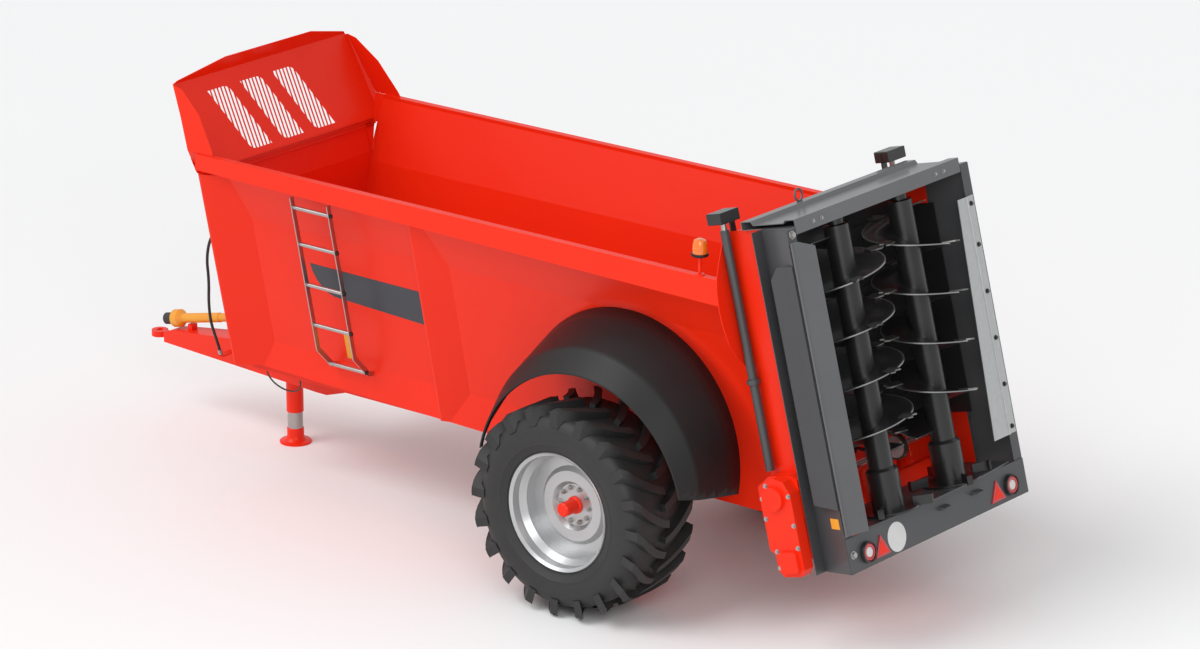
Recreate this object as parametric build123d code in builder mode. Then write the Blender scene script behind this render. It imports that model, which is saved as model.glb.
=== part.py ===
"""Twin vertical beater muck spreader, built as separate named parts in one frame.

X runs rearward, Y to the machine's right, Z up, millimetres, wheels standing on Z = 0.
"""
import math
import os

from build123d import *

os.makedirs("parts", exist_ok=True)

# Running gear
AX = 1467.2            # X of the wheel axis; centres the whole machine on the origin
WHEEL_Z = 732.0        # height of the wheel axis, and the tyre's radius
CARCASS_R = 694.0
TYRE_Y = 1200.0        # centre plane of each tyre
LUGS = 20
STUD_R = 122.0
STUDS = 10
SPINDLE_R = 45.0

# Hopper, given as half sections (Y, Z) of the outer skin
FRONT_X = AX - 3635.0
SHEET = 5.0
SKIN = [(600.0, 735.0), (592.0, 1000.0), (800.0, 1970.0), (965.0, 2400.0)]
SILL_RISE = 65.0       # the sill is shallower towards the front
RAIL_TOP = 2425.0
RAIL_EDGE = 1018.0
FLOOR_Z = 1060.0
FLOOR_HALF = 597.0
WALL_X = AX - 3615.0   # lower front wall
BREAK_Z = 2035.0       # where the front wall turns towards the headboard

# Headboard: a plane leaning forward over the drawbar
HEAD_LEAN = 24.2
HS, HC = math.sin(math.radians(HEAD_LEAN)), math.cos(math.radians(HEAD_LEAN))
HEAD_X = AX - 3672.0
HEAD_Z = 2250.0
HEAD_H = 658.0
HEAD_TOP = 904.0
HEAD_LOW = 968.0
WINDOW = [(-370.0, 60.0), (-158.0, 60.0), (-396.0, 545.0), (-608.0, 545.0)]
WINDOW_PITCH = 336.0
BAR_PITCH = 36.0
CROSSBAR = 46.0

# Rear frame: a plane leaning forward at the top
LEAN = 14.2
SL, CL = math.sin(math.radians(LEAN)), math.cos(math.radians(LEAN))
REAR_X = AX + 1788.0
REAR_Z = 585.0
FRAME_T = 2272.0       # length of the frame up its own slope
FRAME_N = 290.0        # depth of the spreading hood
BOX_N = -310.0         # front of the rear box section
BOX_Y = 875.0          # outer face of the rear box walls
FLANGE_Y = 1000.0
GUSSET = 6.0
TABLE_T = 250.0        # top of the spreading table
BAR_T = 236.0          # height of the light bar
DOOR_N = -275.0
DOOR_LOW, DOOR_HIGH = 600.0, 2235.0

# Beaters
BEATER_N = 170.0
BEATER_Y = 350.0
TUBE_R = 84.0
SKIRT_R = 108.0
STUB_R = 25.0
FLIGHT_R = 280.0
PITCH = 330.0
TURNS = 4.5
FLIGHT_T = 620.0       # height at which the flighting starts
FLIGHT_SHEET = 8.0
KNIFE_R = 348.0
KNIVES = 14

# Conveyor
SHAFT_Z = 985.0
REAR_SHAFT_X = AX + 1390.0
FRONT_SHAFT_X = AX - 3480.0
CHAIN_WHEEL_R = 74.7
CHAIN_IN, CHAIN_OUT = 75.2, 89.0
CHAIN_Y = 420.0
SHAFT_R = 20.0
SLAT_PITCH = 350.0
DRIVE_Z = 937.0        # height of the driveline under the floor
DRIVE_R = 22.0
RUN = 0.05             # radial clearance of a running fit

# Drawbar, support leg and drive shaft
EYE_X, EYE_Z = AX - 5027.0, 561.0
LEG_X = AX - 3677.6
LEG_R = 56.0
PTO_FRONT = (AX - 4950.0, 685.0)
PTO_REAR = (AX - 3790.0, DRIVE_Z)

rear = Plane(origin=(REAR_X, 0, REAR_Z), x_dir=(0, 1, 0), z_dir=(CL, 0, SL))
across = Plane(origin=(REAR_X, 0, REAR_Z), x_dir=(0, 1, 0), z_dir=(-SL, 0, CL))
head = Plane(origin=(HEAD_X, 0, HEAD_Z), x_dir=(0, 1, 0), z_dir=(HC, 0, HS))
wheel_section = Plane(origin=(AX, -TYRE_Y, WHEEL_Z), x_dir=(0, 0, 1), z_dir=(1, 0, 0))
wheel_axis = Axis((AX, -TYRE_Y, WHEEL_Z), (0, -1, 0))
SHAFT_N = (REAR_SHAFT_X - REAR_X) * CL + (SHAFT_Z - REAR_Z) * SL
SHAFT_T = (SHAFT_Z - REAR_Z) * CL - (REAR_SHAFT_X - REAR_X) * SL


def save(part, label):
    """Name a part and write it out."""
    part.label = label
    export_step(part, f"parts/{label}.step")


def save_pair(part, label):
    """Write a left-hand part and its mirror image on the right."""
    save(part, label + "_left")
    save(mirror(part, about=Plane.XZ), label + "_right")


def save_both(part, label):
    """Write a left-hand part and its mirror image as one piece of kit."""
    save(Compound(children=part.solids() + mirror(part, about=Plane.XZ).solids()), label)


def station(x):
    """Vertical plane across the machine, facing rearward: local x is Y, local y is Z."""
    return Plane(origin=(x, 0, 0), x_dir=(0, 1, 0), z_dir=(1, 0, 0))


def side(y):
    """Vertical plane along the machine, facing left: local x is X, local y is Z."""
    return Plane(origin=(0, y, 0), x_dir=(1, 0, 0), z_dir=(0, -1, 0))


def flank(y):
    """Side plane of the leaning rear frame: local x runs rearward, local y up the slope."""
    return Plane(origin=(REAR_X, y, REAR_Z), x_dir=(CL, 0, SL), z_dir=(0, -1, 0))


def at_rear(y, t, n):
    """Point of the leaning rear frame: sideways, up the slope, rearward."""
    return (REAR_X + n * CL - t * SL, y, REAR_Z + n * SL + t * CL)


def slope_t(z, n):
    """Distance up the rear frame of a point at height z in the plane n."""
    return (z - REAR_Z - n * SL) / CL


def skin_y(z, inset=0.0):
    """Half width of the hopper's outer skin at height z."""
    for (y0, z0), (y1, z1) in zip(SKIN, SKIN[1:]):
        if z <= z1:
            break
    return y0 + (y1 - y0) * (z - z0) / (z1 - z0) - inset


def outline(points):
    """Closed polygon from a list of corners, always facing along its plane."""
    ring = list(zip(points, points[1:] + points[:1]))
    area = sum(a[0] * b[1] - b[0] * a[1] for a, b in ring)
    return Polygon(*(points if area > 0 else points[::-1]), align=None)


def both_sides(points):
    """Corners of a symmetric outline from its right-hand half."""
    return points + [(-y, z) for y, z in points[::-1]]


def folded(points, gauge):
    """Section of a sheet folded along the points, its thickness laid to the left."""
    runs = [(Vector(*b) - Vector(*a)).normalized() for a, b in zip(points, points[1:])]
    normals = [Vector(-run.Y, run.X) for run in runs]
    shifts = [normals[0] * gauge]
    for before, after in zip(normals, normals[1:]):
        shifts.append((before + after) * (gauge / (1 + before.dot(after))))
    shifts.append(normals[-1] * gauge)
    far = [(p[0] + s.X, p[1] + s.Y) for p, s in zip(points, shifts)]
    return outline(list(points) + far[::-1])


# ---------------------------------------------------------------- hopper
outer_skin = [(-y, z) for y, z in SKIN]
inner_skin = [(y + SHEET, z) for y, z in outer_skin]
with BuildPart() as wall:
    with BuildSketch(station(FRONT_X)):
        outline(outer_skin + inner_skin[::-1])
    extrude(amount=5200)
    split(bisect_by=rear.offset(BOX_N - GUSSET), keep=Keep.BOTTOM)
    with BuildSketch(side(0)):
        outline([(FRONT_X - 1, 700), (FRONT_X - 1, SKIN[0][1] + SILL_RISE),
                 (AX - 500, SKIN[0][1]), (AX - 500, 700)])
        with Locations((AX, 760)):
            Rectangle(190, 100)
    extrude(amount=1300, both=True, mode=Mode.SUBTRACT)
save_pair(wall.part, "hopper_wall")

with BuildPart() as skin_block:
    with BuildSketch(station(FRONT_X - 50)):
        outline(both_sides(SKIN))
    extrude(amount=5400)

with BuildPart() as floor:
    with BuildSketch(Plane.XY.offset(FLOOR_Z - 6)):
        with Locations((AX - 1060, 0)):
            Rectangle(4700, 2 * FLOOR_HALF)
    extrude(amount=6)
save(floor.part, "hopper_floor")

# Lower front wall with the steep panel up to the headboard
with BuildPart() as front_wall:
    with BuildSketch(station(WALL_X - SHEET)):
        outline(both_sides([(skin_y(z, SHEET + 0.3), z) for z in (830, 1000, 1970, BREAK_Z)]))
        with Locations((0, DRIVE_Z)):
            Circle(34, mode=Mode.SUBTRACT)
    extrude(amount=SHEET)
    with BuildSketch(side(0)):
        outline([(WALL_X - SHEET, BREAK_Z - 4), (WALL_X, BREAK_Z), (HEAD_X + 8, HEAD_Z - 32),
                 (HEAD_X + 2, HEAD_Z - 32)])
    extrude(amount=skin_y(BREAK_Z - 10, SHEET + 1), both=True)
save(front_wall.part, "front_wall")


def window(k):
    """One slanted window of the headboard, rounded at two corners."""
    pane = outline([(y + WINDOW_PITCH * k, h) for y, h in WINDOW])
    low = pane.vertices().sort_by(Axis.Y)[:2].sort_by(Axis.X)[0]
    high = pane.vertices().sort_by(Axis.Y)[2:].sort_by(Axis.X)[-1]
    return fillet([low, high], radius=75)


panes = [window(k) for k in range(3)]
bars = Sketch() + [Pos(-612 + BAR_PITCH * i, 300) * Rectangle(13, 560) for i in range(31)]
visor_plane = Plane(origin=(HEAD_X - HS * HEAD_H, 0, HEAD_Z + HC * HEAD_H),
                    x_dir=(0, 1, 0), z_dir=(0.832, 0, -0.555))
with BuildPart() as headboard:
    with BuildSketch(head):
        outline(both_sides([(HEAD_LOW - 60, -24), (HEAD_LOW - 10, 20), (HEAD_LOW, 120),
                            (HEAD_TOP, HEAD_H)]))
        for pane in panes:
            add(pane, mode=Mode.SUBTRACT)
    extrude(amount=-SHEET)
    with BuildSketch(head):
        with Locations((0, 12 - CROSSBAR / 2)):
            Rectangle(1730, CROSSBAR)
            Rectangle(1720, CROSSBAR - 8, mode=Mode.SUBTRACT)
    extrude(amount=CROSSBAR)
    with BuildSketch(visor_plane):
        outline(both_sides([(HEAD_TOP, -3), (HEAD_TOP - 30, 26), (450, 144)]))
    extrude(amount=-SHEET)
save(headboard.part, "headboard")

with BuildPart() as grilles:
    with BuildSketch(head.offset(-1)):
        for pane in panes:
            add(pane & bars)
    extrude(amount=-3)
save(grilles.part, "headboard_grilles")

# Wings between the headboard and the top rails, with a folded front edge
wing_plane = Plane(origin=(AX - 3735, -990, RAIL_TOP), x_dir=(1, 0, 0), z_dir=(0, -0.982, 0.191))
with BuildPart() as wing:
    with BuildSketch(wing_plane):
        outline([(4, 0.3), (245, 0.3), (232, 34), (75, 262), (-112, 413), (-190, 431)])
    extrude(amount=SHEET)
save_both(wing.part, "headboard_wings")


# Top rails: a folded sheet whose outer face deepens towards the rear
def rail_section(edge, low):
    """Folded section of the rail at one station, left-hand side."""
    foot = skin_y(low - 2) + 0.3
    return [(-962, 2400.3), (-962, RAIL_TOP), (-RAIL_EDGE, RAIL_TOP), (-edge, low),
            (-foot, low - 6), (-foot, low - 2), (-edge + 4.2, low + 4), (-RAIL_EDGE + 4, 2421),
            (-966, 2421), (-966, 2400.3)]


with BuildPart() as rail:
    with BuildSketch(station(FRONT_X)):
        outline(rail_section(1026, 2312))
    with BuildSketch(station(AX + 1080)):
        outline(rail_section(1052, 2264))
    loft(ruled=True)
    split(bisect_by=rear.offset(BOX_N - GUSSET), keep=Keep.BOTTOM)
save_pair(rail.part, "top_rail")

# Outside posts: folded sections standing proud of the leaning wall
POST_SLOPE = 0.2144
POST_TOP = 2278.0


def post_outline(x, length, depth, z):
    """Plan of a post at height z: upright front face, slanting rear face."""
    y = skin_y(1000) + POST_SLOPE * (z - 1000)
    return outline([(x, 60 - y), (x, 22 - depth - y), (x + 9, 7 - depth - y),
                    (x + 24, 4 - depth - y), (x + length, 2 - y), (x + length, 60 - y)])


def post(x, length, depth, bottom):
    """One wall post, trimmed against the hopper's skin."""
    with BuildPart() as shape:
        with BuildSketch(Plane.XY.offset(bottom)):
            post_outline(x, length, depth, bottom)
        with BuildSketch(Plane.XY.offset(POST_TOP)):
            post_outline(x, length, depth, POST_TOP)
        loft(ruled=True)
        add(skin_block.part, mode=Mode.SUBTRACT)
    return shape.part


with BuildPart() as posts:
    add(post(FRONT_X, 327, 146, 800))
    add(post(AX - 1750, 267, 82, 760))
save_both(posts.part, "wall_posts")

# ---------------------------------------------------------------- rear box
right_skin = [(skin_y(z) + 0.3, slope_t(z, BOX_N - GUSSET)) for z in (740, 1000, 1970, 2080, 2160)]
bulge = [(BOX_Y, 1360), (920, 1383), (1000, 1466), (1052, 1565), (1078, 1690), (1084, 1800),
         (1072, 1915), (1044, 2010), (1000, 2090), (930, 2200), (BOX_Y, 2240)]
with BuildPart() as rear_side:
    with BuildSketch(rear.offset(BOX_N - GUSSET)):
        outline([(-y, t) for y, t in right_skin + [(870, 2240)] + bulge[::-1] + [(BOX_Y, 217)]])
    extrude(amount=GUSSET)
    with BuildSketch(flank(-BOX_Y + SHEET)):
        outline([(BOX_N, 217), (0, 0), (0, FRAME_T), (BOX_N, FRAME_T)])
        with Locations((SHAFT_N, SHAFT_T)):
            Circle(SHAFT_R + RUN, mode=Mode.SUBTRACT)
    extrude(amount=SHEET)

with BuildPart() as rear_box:
    add(rear_side.part)
    mirror(about=Plane.XZ)
    with BuildSketch(flank(-BOX_Y + SHEET - 0.5)):
        with Locations((-284, 268)):
            RectangleRounded(46, 120, 8)
            RectangleRounded(34, 108, 4, mode=Mode.SUBTRACT)
        with Locations((-205, 2245)):
            RectangleRounded(80, 46, 8)
            RectangleRounded(68, 34, 4, mode=Mode.SUBTRACT)
    extrude(amount=-2 * (BOX_Y - SHEET + 0.5))
save(rear_box.part, "rear_box")

with BuildPart() as liner:
    with BuildSketch(flank(-865.5)):
        outline([(-240, 600), (48, 600), (48, 2040), (-240, 2040)])
    extrude(amount=4)
save_both(liner.part, "side_liners")

# Flange, flared cheeks with their rear lips, and the bar that carries the beaters' tops
cheek = [(-900, -6), (-995, -284), (-912, -284)]
with BuildPart() as rear_frame:
    with BuildSketch(rear):
        outline([(-FLANGE_Y, 0), (-FLANGE_Y, FRAME_T), (FLANGE_Y, FRAME_T), (FLANGE_Y, 0),
                 (BOX_Y, 0), (BOX_Y, 2216), (-BOX_Y, 2216), (-BOX_Y, 0)])
    extrude(amount=6)
    with BuildSketch(across):
        folded(cheek, -5)
        folded([(-y, n) for y, n in cheek], 5)
    extrude(amount=FRAME_T)
    with BuildSketch(flank(-942)):
        with Locations((BEATER_N, 2240)):
            Rectangle(100, 60)
            Rectangle(88, 48, mode=Mode.SUBTRACT)
    extrude(amount=-1884)
save(rear_frame.part, "rear_frame")

roof_line = [(-146, 2276), (-146, 2326), (-70, 2326), (-52, 2300), (196, 2300), (214, 2318),
             (284, 2318), (284, 2226)]
with BuildPart() as roof:
    with BuildSketch(flank(-905)):
        folded([(n + 2, t) for n, t in roof_line], 5)
    extrude(amount=-1810)
    with BuildSketch(across.offset(FRAME_T + 0.5)):
        outline(both_sides([(895, 148), (895, -6), (FLANGE_Y - 5, -289)]))
    extrude(amount=4)
    with BuildSketch(across.offset(2330)):
        with Locations((-320, 110)):
            Rectangle(30, 24)
    extrude(amount=8)
    with BuildSketch(rear.offset(-110)):
        with Locations((-320, 2376)):
            Circle(44)
            Circle(33, mode=Mode.SUBTRACT)
    extrude(amount=5, both=True)
save(roof.part, "rear_roof")

with BuildPart() as table:
    with BuildSketch(across.offset(TABLE_T)) as plan:
        with BuildLine():
            Polyline((866, -278), (866, 168), (-866, 168), (-866, -278))
            ThreePointArc((-866, -278), (0, -345), (866, -278))
        make_face()
        with Locations((BEATER_Y, -BEATER_N), (-BEATER_Y, -BEATER_N)):
            Circle(STUB_R + 15 + RUN, mode=Mode.SUBTRACT)
    extrude(amount=-12)
save(table.part, "spreading_table")

with BuildPart() as light_bar:
    with BuildSketch(rear.offset(FRAME_N)):
        outline([(-FLANGE_Y, 0), (FLANGE_Y, 0), (FLANGE_Y, BAR_T), (-FLANGE_Y, BAR_T)])
    extrude(amount=6)
    with BuildSketch(flank(-905)):
        outline([(FRAME_N - 32, 0), (FRAME_N, 0), (FRAME_N, 6), (FRAME_N - 32, 6)])
    extrude(amount=-1810)
    with BuildSketch(rear.offset(FRAME_N + 6)):
        with Locations((50, 158), (420, 158)):
            Rectangle(90, 26)
    extrude(amount=50, taper=12)
save(light_bar.part, "light_bar")

# Round lamps, triangular reflectors and the blank speed disc
LIGHT_T = 100.0
with BuildPart() as lamp:
    with BuildSketch(rear.offset(FRAME_N + 6)):
        with Locations((-810, LIGHT_T)):
            Circle(72)
    extrude(amount=30)
    fillet(lamp.edges().filter_by(GeomType.CIRCLE).sort_by(Axis.X)[-1], radius=9)
save_both(lamp.part, "rear_lamps")

with BuildPart() as markers:
    with BuildSketch(rear.offset(FRAME_N + 6)):
        with Locations((-655, LIGHT_T - 22), (655, LIGHT_T - 22)):
            RegularPolygon(95, 3, rotation=90)
    extrude(amount=10)
    with BuildSketch(rear.offset(FRAME_N + 6)):
        with Locations((-480, 108)):
            Circle(98)
    extrude(amount=2)
save(markers.part, "rear_markers")

# Deflectors: a fixed strip each side with a hinged leaf
HINGE_LEFT = (-1004.0, 312.0)
HINGE_RIGHT = (903.0, 303.0)
HINGE_R = 8.0
with BuildPart() as mounts:
    with BuildSketch(flank(-1002.5)):
        outline([(95, 470), (285, 430), (285, 2040), (160, 2040), (95, 1960)])
    extrude(amount=4)
    with BuildSketch(rear.offset(FRAME_N)):
        outline([(914, 424), (985, 424), (985, 2054), (914, 2054)])
    extrude(amount=6)
save(mounts.part, "deflector_mounts")

with BuildPart() as left_leaf:
    with BuildSketch(across.offset(255)):
        with Locations((HINGE_LEFT[0], -HINGE_LEFT[1])):
            Circle(HINGE_R)
        folded([(-1001, -312), (-850, -378)], 5)
    extrude(amount=1935)
    with BuildSketch(flank(-1100)):
        outline([(325, 2190), (400, 2110), (400, 2191), (325, 2191)])
    extrude(amount=-300, mode=Mode.SUBTRACT)
save(left_leaf.part, "deflector_left")

with BuildPart() as right_leaf:
    with BuildSketch(rear.offset(FRAME_N + 9)):
        outline([(900, 424), (900, 2054), (800, 2054), (722, 424)])
    extrude(amount=5)
    with BuildSketch(across.offset(424)):
        with Locations((HINGE_RIGHT[0], -HINGE_RIGHT[1])):
            Circle(HINGE_R)
    extrude(amount=1630)
save(right_leaf.part, "deflector_right")

# ---------------------------------------------------------------- beaters
LOW_R = STUB_R + 15
with BuildPart() as tube:
    for radius, low, high in ((LOW_R, 200, 256), (SKIRT_R, 262, 545), (TUBE_R, 262, 2168),
                              (STUB_R, 2160, 2203), (200, 252, 264)):
        with BuildSketch(across.offset(low)):
            with Locations((-BEATER_Y, -BEATER_N)):
                Circle(radius)
        extrude(amount=high - low)
    with BuildSketch(across.offset(262)):
        with Locations((-BEATER_Y, -BEATER_N)):
            with PolarLocations(235, 4, start_angle=25):
                Rectangle(130, 12)
                with Locations((58, 14)):
                    Rectangle(14, 40)
    extrude(amount=62)
    chamfer(tube.edges().filter_by(GeomType.CIRCLE).filter_by(
        lambda e: abs(e.radius - SKIRT_R) < 0.1).sort_by(Axis.Z)[-1], length=18)
save_pair(tube.part, "beater_tube")

with BuildPart() as helicoid:
    with BuildLine():
        Helix(pitch=PITCH, height=PITCH * TURNS, radius=(FLIGHT_R + TUBE_R) / 2)
    rise = PITCH / (math.pi * (FLIGHT_R + TUBE_R))
    start = Plane(origin=((FLIGHT_R + TUBE_R) / 2, 0, 0), x_dir=(1, 0, 0), z_dir=(0, 1, rise))
    with BuildSketch(start):
        with Locations((-4, 0)):
            Rectangle(FLIGHT_R - TUBE_R + 8, FLIGHT_SHEET)
    sweep(is_frenet=True)
    with BuildSketch(Plane.XY.offset(-60)):
        Circle(TUBE_R + 0.02)
    extrude(amount=PITCH * TURNS + 120, mode=Mode.SUBTRACT)

with BuildPart() as knife_set:
    for k in range(KNIVES):
        turn = 360 * TURNS * (k + 0.35) / KNIVES
        seat = Location((0, 0, PITCH * turn / 360), (0, 0, turn)) * Location((288, 0, 0), (10.3, 0, 0))
        with Locations(seat * Location((0, 0, 10.8))):
            Box(2 * (KNIFE_R - 288), 60, 10)

foot = across.offset(FLIGHT_T).location * Location((-BEATER_Y, -BEATER_N, 0))
save_pair(foot * helicoid.part, "beater_flight")
save_pair(foot * knife_set.part, "beater_knives")

with BuildPart() as bearings:
    with BuildSketch(across.offset(2176)):
        with Locations((-BEATER_Y, -BEATER_N), (BEATER_Y, -BEATER_N)):
            Circle(55)
            Circle(STUB_R + RUN, mode=Mode.SUBTRACT)
    extrude(amount=33.8)
save(bearings.part, "beater_bearings")

with BuildPart() as gearbox:
    with BuildSketch(across.offset(52)):
        with Locations((0, -40)):
            RectangleRounded(900, 430, 60)
    extrude(amount=185)
    with BuildSketch(flank(-140)):
        with Locations((-212, 268)):
            RectangleRounded(86, 415, 12)
    extrude(amount=-280)
    with BuildSketch(across.offset(195)):
        with Locations((-BEATER_Y, -BEATER_N), (BEATER_Y, -BEATER_N)):
            Circle(LOW_R + RUN)
    extrude(amount=60, mode=Mode.SUBTRACT)
    with BuildSketch(station(AX + 1380)):
        with Locations((0, DRIVE_Z)):
            Circle(DRIVE_R + RUN)
    extrude(amount=110, mode=Mode.SUBTRACT)
save(gearbox.part, "beater_gearbox")

# ---------------------------------------------------------------- conveyor
with BuildPart() as drive_shaft:
    with BuildSketch(side(-1000)):
        with Locations((REAR_SHAFT_X, SHAFT_Z)):
            Circle(SHAFT_R)
    extrude(amount=-1910)
    for y in (-CHAIN_Y - 15, CHAIN_Y - 15):
        with BuildSketch(side(y)):
            with Locations((REAR_SHAFT_X, SHAFT_Z)):
                Circle(CHAIN_WHEEL_R)
        extrude(amount=-30)
save(drive_shaft.part, "conveyor_drive_shaft")

with BuildPart() as idler_shaft:
    with BuildSketch(side(-556)):
        with Locations((FRONT_SHAFT_X, SHAFT_Z)):
            Circle(SHAFT_R)
    extrude(amount=-1112)
    for y in (-CHAIN_Y - 15, CHAIN_Y - 15):
        with BuildSketch(side(y)):
            with Locations((FRONT_SHAFT_X, SHAFT_Z)):
                Circle(CHAIN_WHEEL_R)
        extrude(amount=-30)
save(idler_shaft.part, "conveyor_idler_shaft")

SPAN = REAR_SHAFT_X - FRONT_SHAFT_X
with BuildPart() as chains:
    for y in (-CHAIN_Y - 15, CHAIN_Y - 15):
        with BuildSketch(side(y)):
            with Locations(((REAR_SHAFT_X + FRONT_SHAFT_X) / 2, SHAFT_Z)):
                SlotCenterToCenter(SPAN, 2 * CHAIN_OUT)
                SlotCenterToCenter(SPAN, 2 * CHAIN_IN, mode=Mode.SUBTRACT)
        extrude(amount=-30)
save(chains.part, "conveyor_chains")

# Slats between the two chains, standing just proud of the floor and on the return run
with BuildPart() as slats:
    with BuildSketch(side(-CHAIN_Y + 15)):
        for k in range(13):
            with Locations((FRONT_SHAFT_X + 180 + SLAT_PITCH * k, FLOOR_Z + 17),
                           (FRONT_SHAFT_X + 340 + SLAT_PITCH * k, 893)):
                Rectangle(40, 30)
    extrude(amount=-2 * (CHAIN_Y - 15))
save(slats.part, "conveyor_slats")

# ---------------------------------------------------------------- chassis
BEAM_FRONT, BEAM_REAR = AX - 3560.0, AX + 1350.0
CROSSMEMBERS = (-3300, -2700, -1850, -950, 350, 1100)
with BuildPart() as chassis:
    with BuildSketch(station(BEAM_FRONT)):
        with Locations((-520, 897.5), (520, 897.5)):
            Rectangle(80, 305)
            Rectangle(68, 293, mode=Mode.SUBTRACT)
    extrude(amount=BEAM_REAR - BEAM_FRONT)
    with BuildSketch(Plane.XY.offset(745)):
        with Locations(*[(AX + x, 0) for x in CROSSMEMBERS]):
            Rectangle(80, 1000)
    extrude(amount=30)
    with BuildSketch(side(0)):
        with Locations((AX, 760)):
            Rectangle(190, 80)
        with Locations((FRONT_SHAFT_X, SHAFT_Z)):
            Circle(SHAFT_R + RUN)
    extrude(amount=700, both=True, mode=Mode.SUBTRACT)
    with BuildSketch(Plane.XY.offset(800)):
        with Locations((AX, -520), (AX, 520)):
            Rectangle(200, 80)
    extrude(amount=6)
save(chassis.part, "chassis_frame")

with BuildPart() as axle:
    with BuildSketch(station(AX - 65)):
        with Locations((0, 727)):
            Rectangle(1760, 130)
    extrude(amount=130)
    with BuildSketch(side(-1195)):
        with Locations((AX, WHEEL_Z)):
            Circle(SPINDLE_R)
    extrude(amount=-2390)
    with BuildSketch(Plane.XY.offset(792)):
        with Locations((AX, -520), (AX, 520)):
            Rectangle(120, 90)
    extrude(amount=8)
save(axle.part, "axle_beam")

# Left wheel, drawn as (radius, outward offset) half sections about its axis
hub_profile = [(SPINDLE_R + RUN, -150), (84, -150), (84, 40), (150, 40), (150, 58), (60, 58),
               (60, 82), (48, 90), (48, 200), (38, 210), (0, 210), (0, 10), (SPINDLE_R + RUN, 10)]
with BuildPart() as hub:
    with BuildSketch(wheel_section):
        outline(hub_profile)
    revolve(axis=wheel_axis)
save_pair(hub.part, "wheel_hub")

barrel = [(412, -262), (394, -250), (392, -190), (358, -150), (358, 150), (392, 190), (394, 250),
          (412, 262)]
web = [(60.3, 58.5), (150, 58.5), (176, 92), (238, 92), (268, 62), (354, 62)]
with BuildPart() as rim:
    with BuildSketch(wheel_section):
        folded(barrel, 8)
        folded(web, 10)
    revolve(axis=wheel_axis)
save_pair(rim.part, "wheel_rim")

hub_face = Plane(origin=(AX, -TYRE_Y - 69, WHEEL_Z), x_dir=(1, 0, 0), z_dir=(0, -1, 0))
with BuildPart() as nuts:
    with BuildSketch(hub_face):
        with PolarLocations(STUD_R, STUDS):
            RegularPolygon(18, 6)
    extrude(amount=22)
    with BuildSketch(hub_face.offset(22)):
        with PolarLocations(STUD_R, STUDS):
            Circle(10)
    extrude(amount=14)
save_pair(nuts.part, "wheel_nuts")

tyre_outer = [(397, 248), (422, 266), (470, 290), (540, 300), (612, 296), (660, 281), (684, 246),
              (CARCASS_R, 130)]
tyre_inner = [(668, 140), (652, 226), (620, 258), (545, 274), (480, 264), (430, 240), (397, 212)]
half = tyre_outer[::-1] + [(r, s) for r, s in tyre_inner[::-1]]
with BuildPart() as lug:
    crown = Plane(origin=(AX, -TYRE_Y, WHEEL_Z + 636), x_dir=(1, 0, 0), z_dir=(0, 0, 1))
    with BuildSketch(crown):
        outline([(-22, 14), (34, 14), (-58, -150), (-130, -292), (-196, -292), (-112, -150)])
    extrude(amount=110)
with BuildPart() as tyre:
    with BuildSketch(wheel_section):
        outline([(r, -s) for r, s in tyre_outer] + tyre_outer[::-1]
                + tyre_inner[::-1] + [(r, -s) for r, s in tyre_inner])
    revolve(axis=wheel_axis)
    for k in range(LUGS):
        add(lug.part.rotate(wheel_axis, 360 / LUGS * k))
        add(mirror(lug.part, about=Plane.XZ.offset(TYRE_Y)).rotate(wheel_axis, 360 / LUGS * (k + 0.5)))
    with BuildSketch(wheel_section):
        outline([(380, -300), (690, -300), (WHEEL_Z, -250), (WHEEL_Z, 250), (690, 300), (380, 300)])
    revolve(axis=wheel_axis, mode=Mode.INTERSECT)
save_pair(tyre.part, "tyre")

# Mudguards: flared shells whose radius and centre change across the tyre
GUARD = [(-1400, 130, 830, 870), (-1250, 127, 930, 905), (-850, 120, 1080, 930)]
GUARD_SHEET = 6.0
shells = []
for trim in (0, GUARD_SHEET):
    with BuildPart() as shell:
        for y, x, z, r in GUARD:
            with BuildSketch(side(y)):
                with Locations((AX + x, z)):
                    Circle(r - trim)
        loft(ruled=True)
    shells.append(shell.part)
with BuildPart() as mudguard:
    add(shells[0])
    add(shells[1], mode=Mode.SUBTRACT)
    with BuildSketch(station(AX - 1000)):
        outline([(-1500, 916), (-800, 1564), (-800, -200), (-1500, -200)])
    extrude(amount=1130, mode=Mode.SUBTRACT)
    with BuildSketch(station(AX + 129)):
        outline([(-1500, 1045), (-800, 920), (-800, -200), (-1500, -200)])
    extrude(amount=1130, mode=Mode.SUBTRACT)
    with BuildSketch(Plane.XY.offset(1998)):
        with Locations((AX + 120, -835)):
            Rectangle(120, 40)
    extrude(amount=8)
save_both(mudguard.part, "mudguards")

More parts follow.
